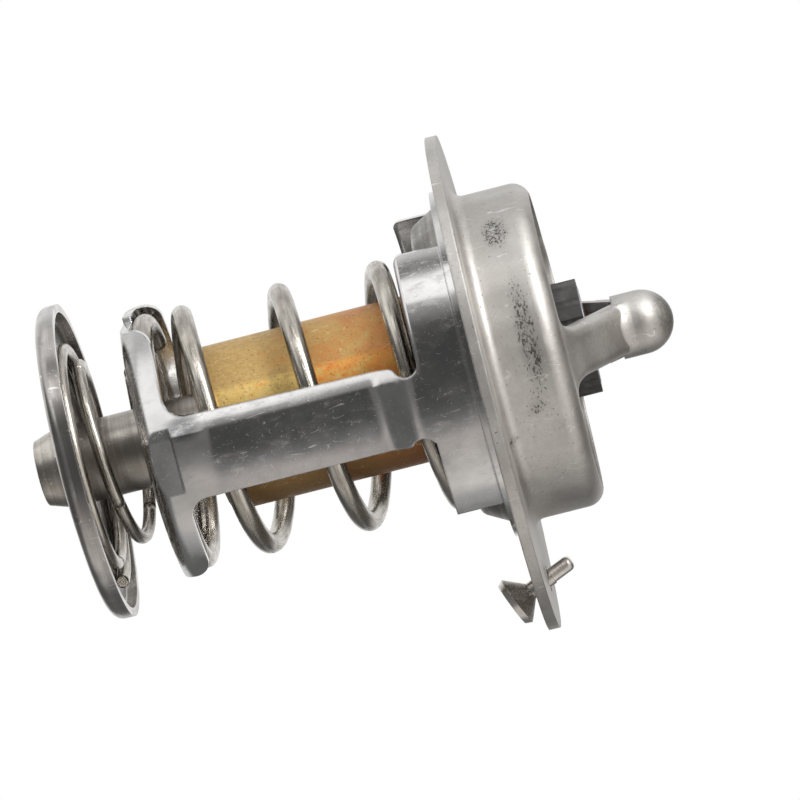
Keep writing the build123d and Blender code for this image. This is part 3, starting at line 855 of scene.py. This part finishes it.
def drawn_wire(name, wire, dark, light):
    material, tree, shader = start_finish(name, light, 1.0, 0.28)
    blot_places = wire_places(tree, wire, BLOT_STRETCH)
    streaks = noise(tree, wire_places(tree, wire, STREAK_STRETCH), 0.16, detail=3.0)
    blots = noise(tree, blot_places, 0.9, detail=4.0)
    worn = remap(tree, noise(tree, blot_places, 0.12, detail=2.0), 0.68, 0.74)
    share = sums(tree, "MULTIPLY_ADD", streaks, 0.45, sums(tree, "MULTIPLY", blots, 0.55))
    tone = blend_colours(tree, remap(tree, share, 0.36, 0.64), dark, light)
    tree.links.new(blend_colours(tree, worn, tone, WORN_WIRE), shader.inputs["Base Color"])
    tree.links.new(remap(tree, share, 0.3, 0.7, 0.30, 0.18), shader.inputs["Roughness"])
    feel(tree, shader, sums(tree, "MULTIPLY_ADD", streaks, 0.5, blots), 0.03)
    return material


main_finish = drawn_wire("main_wire", MAIN_WIRE, (0.34, 0.315, 0.275), (0.58, 0.545, 0.49))
bypass_finish = drawn_wire("bypass_wire", BYPASS_WIRE, (0.36, 0.335, 0.30), (0.60, 0.565, 0.51))
print("made", main_finish.name, bypass_finish.name)


# %% [markdown]
# ## The main spring
#
# It stands on the cage's foot and pushes the main valve shut. Its end turns lie flat on their
# seats, and between them it climbs evenly, a little over ten millimetres a turn. At the seats the
# climb starts slowly, over most of a turn, because real end turns are bent flat and not cut off.
# No wound spring is quite true either: this one's free turns tilt a little, and it leans by less
# than a millimetre from the foot to the valve.

# %% The main spring's centre line
CAGE_SHEET = 0.9 * MM
SEAT_GAP = 0.05 * MM
MAIN_COIL = 12.9 * MM
MAIN_PITCH = 10.75 * MM
MAIN_END_TURNS = 0.815
MAIN_RAMP_TURNS = 0.8
MAIN_START = math.radians(146)
MAIN_FOOT_SHIFT = 0.1 * MM
MAIN_HEAD_SHIFT = 0.8 * MM
MAIN_TILT = 0.9 * MM
MAIN_TILT_TURNS = 0.3

main_seat = FOOT_UNDER + CAGE_SHEET + MAIN_WIRE / 2 + SEAT_GAP
main_head = DISH_UNDER - MAIN_WIRE / 2 - SEAT_GAP
main_turns = 2 * MAIN_END_TURNS + (main_head - main_seat) / MAIN_PITCH


def main_rise(turn):
    """Climb of the wire from a flat end, in metres, after some turns."""
    climbing = turn - MAIN_END_TURNS + MAIN_RAMP_TURNS / 2
    if climbing <= 0:
        return 0.0
    if climbing < MAIN_RAMP_TURNS:
        return MAIN_PITCH * climbing**2 / (2 * MAIN_RAMP_TURNS)
    return MAIN_PITCH * (turn - MAIN_END_TURNS)


def main_line(turn):
    """Centre of the main spring's wire after some turns."""
    angle = MAIN_START + 2 * math.pi * turn
    if turn <= main_turns / 2:
        height = main_seat + main_rise(turn)
    else:
        height = main_head - main_rise(main_turns - turn)
    free_turns = min(turn, main_turns - turn) - MAIN_END_TURNS
    fade = min(1.0, max(0.0, free_turns / MAIN_TILT_TURNS))
    tilt = MAIN_TILT * fade**2 * (3 - 2 * fade) * math.cos(angle)
    share = (height - main_seat) / (main_head - main_seat)
    shift = MAIN_FOOT_SHIFT + (MAIN_HEAD_SHIFT - MAIN_FOOT_SHIFT) * share
    x = AXIS_X + shift + MAIN_COIL * math.cos(angle)
    return Vector((x, MAIN_COIL * math.sin(angle), height - tilt))


main_length = wire_length(main_line, 0, main_turns)
print("main spring:", round(main_turns, 2), "turns,", round(main_length / MM), "mm of wire")


# %% [markdown]
# The wire is wound from the foot to the valve in one piece, and it takes the place of the
# imported spring.

# %% Wind the main spring
main_coil = wind("main_coil", main_line, MAIN_WIRE, main_finish, 0, main_turns)
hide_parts("main_spring")
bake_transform(main_coil)
print("wound", main_coil.name, "with", len(main_coil.data.polygons), "faces")


# %% [markdown]
# ## The bypass spring
#
# The second spring is a cone. Its wide turn lies in the bypass disc and its narrow end presses
# under the foot. It takes part in two motions: it stretches when the wax element pushes the disc
# away, and it is squeezed when the disc meets its seat. One mesh can only follow one joint, so
# the wire is cut where the two motions meet.

# %% The bypass spring's centre line
DISC_SHEET = 0.9 * MM
BYPASS_WIDE = 13.3 * MM
BYPASS_NARROW = 8.2 * MM
BYPASS_CLOSED_TURNS = 1.0
BYPASS_OPEN_TURNS = 1.5
BYPASS_CLIMB = 1.5
BYPASS_END = math.radians(180)

bypass_seat = DISC_UNDER + DISC_SHEET + BYPASS_WIRE / 2 + SEAT_GAP
bypass_head = FOOT_UNDER - BYPASS_WIRE / 2 - SEAT_GAP
bypass_turns = BYPASS_CLOSED_TURNS + BYPASS_OPEN_TURNS


def bypass_line(turn):
    """Centre of the bypass spring's wire, counted from its wide end."""
    share = max(0.0, (turn - BYPASS_CLOSED_TURNS) / BYPASS_OPEN_TURNS)
    reach = BYPASS_WIDE + (BYPASS_NARROW - BYPASS_WIDE) * turn / bypass_turns
    height = bypass_seat + (bypass_head - bypass_seat) * share**BYPASS_CLIMB
    angle = BYPASS_END + 2 * math.pi * (turn - bypass_turns)
    return Vector((AXIS_X + reach * math.cos(angle), reach * math.sin(angle), height))


bypass_length = wire_length(bypass_line, 0, bypass_turns)
print("bypass spring:", bypass_turns, "turns,", round(bypass_length / MM), "mm of wire")


# %% [markdown]
# Blending by height would also flatten the wire itself, because one side of the wire lies lower
# than the other. The climbing wire is therefore made in short arcs, and for each arc a share is
# worked out at its two ends from how far the wire there has climbed towards the cut.

# %% Wind the bypass spring in arcs
BYPASS_CUT_TURN = 2.12
BYPASS_ARCS = 4


def wind_arc(name, first_turn, last_turn, bodies, shares, ends=(False, False)):
    """An arc of the spring; bodies and shares are not used."""
    arc = wind(name, bypass_line, BYPASS_WIRE, bypass_finish, first_turn, last_turn, ends)
    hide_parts("bypass_spring")
    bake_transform(arc)


seat_coil = wind(
    "bypass_coil_seat",
    bypass_line,
    BYPASS_WIRE,
    bypass_finish,
    0,
    BYPASS_CLOSED_TURNS,
    ends=(True, False),
)
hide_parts("bypass_spring")
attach(seat_coil, "bypass_valve")

cut_height = bypass_line(BYPASS_CUT_TURN).z
arc_turns = (BYPASS_CUT_TURN - BYPASS_CLOSED_TURNS) / BYPASS_ARCS
for i in range(BYPASS_ARCS):
    arc_ends = [BYPASS_CLOSED_TURNS + arc_turns * i, BYPASS_CLOSED_TURNS + arc_turns * (i + 1)]
    climbs = [(bypass_line(turn).z - bypass_seat) / (cut_height - bypass_seat) for turn in arc_ends]
    shares = [max(0.0, 1 - climb) for climb in climbs]
    wind_arc(f"bypass_coil_arc_{i + 1}", *arc_ends, ("element", "bypass_valve"), shares)
wind_arc(
    "bypass_coil_tail",
    BYPASS_CUT_TURN,
    bypass_turns,
    ("housing", "element"),
    (1, 0),
    ends=(False, True),
)
print("bypass spring cut at z", round(cut_height / MM, 2), "mm into", BYPASS_ARCS, "arcs and a tail")


# %% [markdown]
# ## The light
#
# Polished metal shows nothing but the room, so the room is designed first. A picture of a real
# room could be wrapped round the world, but a few bands do the same: they lie round the valve's
# axis, and the angle from the camera, up or down, says which band a ray meets. Going up, the
# studio round the camera is dark, then comes a large soft box, a dark gap, and the white backdrop,
# which hangs down behind the object and gives every edge its bright rim. Going down, a pale table
# comes after the dark, and another dark gap parts it from the backdrop.

# %% The bands of the room, by degrees up from the camera
TABLE = (0.62, 0.59, 0.56)
ROOM_BANDS = [
    (-180, 1.00),
    (-164, 0.90),
    (-150, 0.14),
    (-112, 0.16),
    (-96, 0.45),
    (-82, TABLE),
    (-62, (0.44, 0.42, 0.40)),
    (-44, (0.50, 0.47, 0.45)),
    (-32, 0.20),
    (-20, 0.09),
    (32, 0.065),
    (44, 0.34),
    (51, 0.42),
    (67, 0.42),
    (72, 0.18),
    (78, 0.18),
    (88, 0.95),
    (108, 1.00),
    (128, 0.60),
    (148, 0.95),
    (180, 1.00),
]


def facing(tree, direction, way):
    """How far a direction of the world lies towards another one, from -1 to 1."""
    return add(
        tree, "ShaderNodeVectorMath", {0: direction, 1: tuple(way)}, operation="DOT_PRODUCT"
    ).outputs["Value"]


world = bpy.data.worlds.new("studio")
bpy.context.scene.world = world
world.use_nodes = True
room = world.node_tree
room.nodes.clear()
direction = add(room, "ShaderNodeTexCoord").outputs["Generated"]
aside = facing(room, direction, right)
raised = facing(room, direction, up)
ahead = facing(room, direction, back)
turn_up = sums(room, "ARCTAN2", raised, ahead)
band_share = sums(room, "MULTIPLY_ADD", turn_up, 0.5 / math.pi, 0.5)
bands = ramp(room, band_share, [(angle / 360 + 0.5, grey) for angle, grey in ROOM_BANDS])
print("bands of the room:", len(ROOM_BANDS))


# %% [markdown]
# The bands alone would be the same from left to right. A pale screen stands to the right of the
# camera and a much fainter one to its left, so only a narrow gap straight ahead is quite dark. Far
# to the left is a dark wall with a second soft box high up on it. The far right is dark too, and
# so is the right behind the object. The camera itself sees plain white instead of the room.

# %% Screens and walls, and the finished world
PALE_SCREEN = (0.95, 0.92, 0.88)
LEFT_SCREEN_SHARE = 0.12
LEFT_BOX = 1.20
RIGHT_WALL = (0.13, 0.12, 0.11)
BACKDROP = (1, 1, 1)

left_screen = sums(room, "MULTIPLY", remap(room, aside, -0.16, -0.34), LEFT_SCREEN_SHARE)
right_screen = remap(room, aside, 0.11, 0.24)
screens = sums(room, "MAXIMUM", left_screen, right_screen)
screens = sums(room, "MULTIPLY", screens, remap(room, ahead, -0.10, 0.15))
seen_room = blend_colours(room, screens, bands, PALE_SCREEN)

wall_grey = remap(room, aside, -0.85, -0.60, 0.14, 0.20)
wall_and_box = remap(room, remap(room, raised, 0.20, 0.46), 0, 1, wall_grey, LEFT_BOX)
far_left = remap(room, aside, -0.48, -0.70)
far_left = sums(room, "MULTIPLY", far_left, remap(room, ahead, -0.50, -0.25))
seen_room = blend_colours(room, far_left, seen_room, wall_and_box)

behind_right = remap(room, aside, 0.45, 0.60)
behind_right = sums(room, "MULTIPLY", behind_right, remap(room, ahead, 0.0, -0.25))
far_right = sums(room, "MAXIMUM", behind_right, remap(room, aside, 0.86, 0.96))
seen_room = blend_colours(room, far_right, seen_room, RIGHT_WALL)

camera_ray = add(room, "ShaderNodeLightPath").outputs["Is Camera Ray"]
seen = blend_colours(room, camera_ray, seen_room, BACKDROP)
glow = add(room, "ShaderNodeBackground", {"Color": seen})
add(room, "ShaderNodeOutputWorld", {"Surface": glow.outputs[0]})
print("world made with", len(room.nodes), "nodes")


# %% [markdown]
# ## The lamps
#
# Two area lamps add what a plain room would not give. A long one above the object goes with the
# soft box. A narrow strip on the right draws the white line down each spring wire, and lights
# the rounding of the dome.

# %% Hang the lamps
def area_lamp(name, way, distance, width, height, power):
    """A soft lamp in one direction from the object, facing it; height is along the picture's up."""
    data = bpy.data.lights.new(name, "AREA")
    data.shape = "RECTANGLE"
    data.size = width
    data.size_y = height
    data.energy = power
    lamp = bpy.data.objects.new(name, data)
    bpy.context.scene.collection.objects.link(lamp)
    out = way.normalized()
    across = up.cross(out).normalized()
    turned = Matrix((across, out.cross(across), out)).transposed().to_4x4()
    lamp.matrix_world = Matrix.Translation(LOOK_AT + out * distance) @ turned


above = up * 0.85 + back * 0.53
right_front = back * 0.62 + right * 0.38 + up * 0.72
area_lamp("lamp_top", above, distance=0.60, width=0.90, height=0.20, power=0.55)
area_lamp("lamp_right", right_front, distance=0.60, width=0.13, height=0.50, power=1.9)
print("lamps hung:", sorted(lamp.name for lamp in bpy.data.lights))


# %% [markdown]
# ## The floor
#
# A pale floor lies under the stem, far enough down that its shadow stays out of the picture.
# Near the object it is an ordinary matt surface and keeps the shadow. Further out the camera sees
# through it, so that no horizon shows, and the metal's reflections pass through it everywhere,
# so that the room's bands reach all the way round.

# %% Lay the floor
FLOOR_DROP = 31 * MM
FLOOR_REACH = 6.0
SHADOW_NEAR = 70.0
SHADOW_FAR = 110.0

floor_height = cad_low.z - FLOOR_DROP
corners = [(-1, -1), (1, -1), (1, 1), (-1, 1)]
floor_points = [(x * FLOOR_REACH, y * FLOOR_REACH, floor_height) for x, y in corners]
floor_mesh = bpy.data.meshes.new("floor")
floor_mesh.from_pydata(floor_points, [], [(0, 1, 2, 3)])
floor = bpy.data.objects.new("floor", floor_mesh)
bpy.context.scene.collection.objects.link(floor)

floor_finish, floor_tree, floor_shader = start_finish("floor_matt", (0.80, 0.80, 0.80), 0.0, 0.8)
around = places(floor_tree, stretch=(1, 1, 0))
away = add(floor_tree, "ShaderNodeVectorMath", {0: around}, operation="LENGTH").outputs["Value"]
open_floor = remap(floor_tree, away, SHADOW_NEAR, SHADOW_FAR)
floor_rays = add(floor_tree, "ShaderNodeLightPath").outputs
clear = sums(floor_tree, "MULTIPLY", floor_rays["Is Camera Ray"], open_floor)
clear = sums(floor_tree, "MAXIMUM", clear, floor_rays["Is Glossy Ray"])
clear = sums(floor_tree, "MAXIMUM", clear, floor_rays["Is Transmission Ray"])
through = add(floor_tree, "ShaderNodeBsdfTransparent")
mixed = add(
    floor_tree,
    "ShaderNodeMixShader",
    {0: clear, 1: floor_shader.outputs[0], 2: through.outputs[0]},
)
floor_tree.links.new(mixed.outputs[0], floor_tree.nodes["Material Output"].inputs["Surface"])
floor_mesh.materials.append(floor_finish)
print("floor at z", round(floor_height / MM, 1), "mm")
